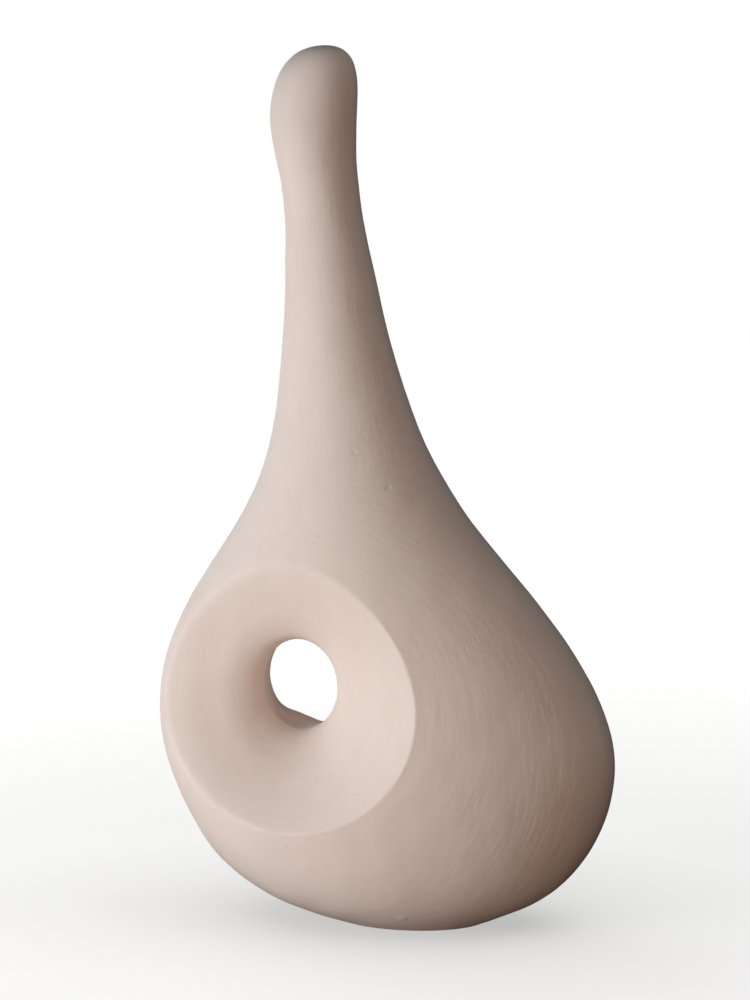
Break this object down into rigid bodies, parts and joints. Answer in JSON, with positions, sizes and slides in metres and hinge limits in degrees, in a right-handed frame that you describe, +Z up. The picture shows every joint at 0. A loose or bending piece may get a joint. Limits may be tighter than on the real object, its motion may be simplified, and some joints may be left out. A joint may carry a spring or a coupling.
{
  "type": "pierced plaster model",
  "caption": "Smooth plaster form with a drop-shaped body, a long neck and rounded head, and a dished eye pierced through it, built over a steel and foam core.",
  "frame": {"origin": "middle of the flat foot, on the surface the form stands on", "axes": "+Z up through the neck; -Y is the front, the side with the wide dish; +X to the right seen from the front"},
  "size_m": [0.2644, 0.1428, 0.5],
  "materials": {
    "plaster_skin": "matt fine plaster, scraped and brushed smooth",
    "plaster_core": "rough plaster with scrim",
    "foam": "rigid foam, cut and rasped",
    "peg_wood": "plain beech peg",
    "rod_steel": "mild steel rod, dull",
    "hessian": "coarse hessian strip soaked in plaster",
    "tie_wire": "soft annealed wire",
    "plywood": "birch plywood, sealed",
    "zinc": "zinc plated"
  },
  "bodies": {
    "root": {"finish_coat": "plaster_skin", "base_coat_body": "plaster_core", "base_coat_neck": "plaster_core", "core_front": "foam", "core_back": "foam", "core_peg_1": "peg_wood", "core_peg_2": "peg_wood", "core_peg_3": "peg_wood", "spine_rod": "rod_steel", "rod_wrapping": "hessian", "eye_hoop": "rod_steel", "tie_lower": "tie_wire", "tie_upper": "tie_wire", "base_board": "plywood", "washer_bottom": "zinc", "nut_bottom": "zinc", "washer_top": "zinc", "nut_top": "zinc"}
  },
  "joints": []
}
